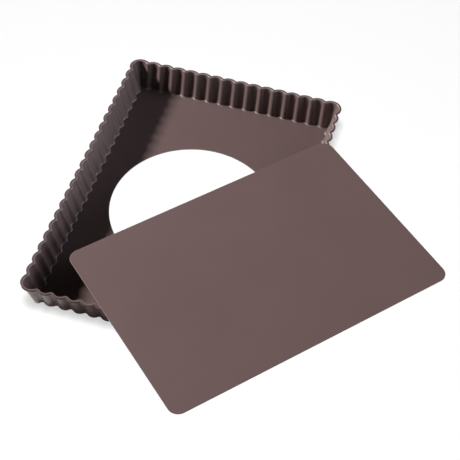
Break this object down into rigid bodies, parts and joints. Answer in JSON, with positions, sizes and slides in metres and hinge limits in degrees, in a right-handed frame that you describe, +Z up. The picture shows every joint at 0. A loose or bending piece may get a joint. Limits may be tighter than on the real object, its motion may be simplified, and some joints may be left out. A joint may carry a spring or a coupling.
{
  "type": "rectangular fluted tart pan",
  "caption": "Rectangular fluted tart pan with flaring walls, a large round push-out hole and a loose flat bottom plate lying across its rim.",
  "frame": {"origin": "centre of the push-out hole at the underside of the pan", "axes": "+X along the pan's long side, +Y along its short side, +Z up"},
  "size_m": [0.3509, 0.3196, 0.0277],
  "materials": {
    "pan_coating": "satin brown-grey non-stick coating on stamped steel",
    "base_coating": "satin brown-grey non-stick coating on flat steel"
  },
  "bodies": {
    "pan": {"pan_shell": "pan_coating"},
    "base": {"loose_base": "base_coating"}
  },
  "joints": [
    {"name": "base_lift", "type": "slide", "parent": "pan", "child": "base", "axis": [0, 0, 1], "range_m": [0, 0.08]}
  ]
}
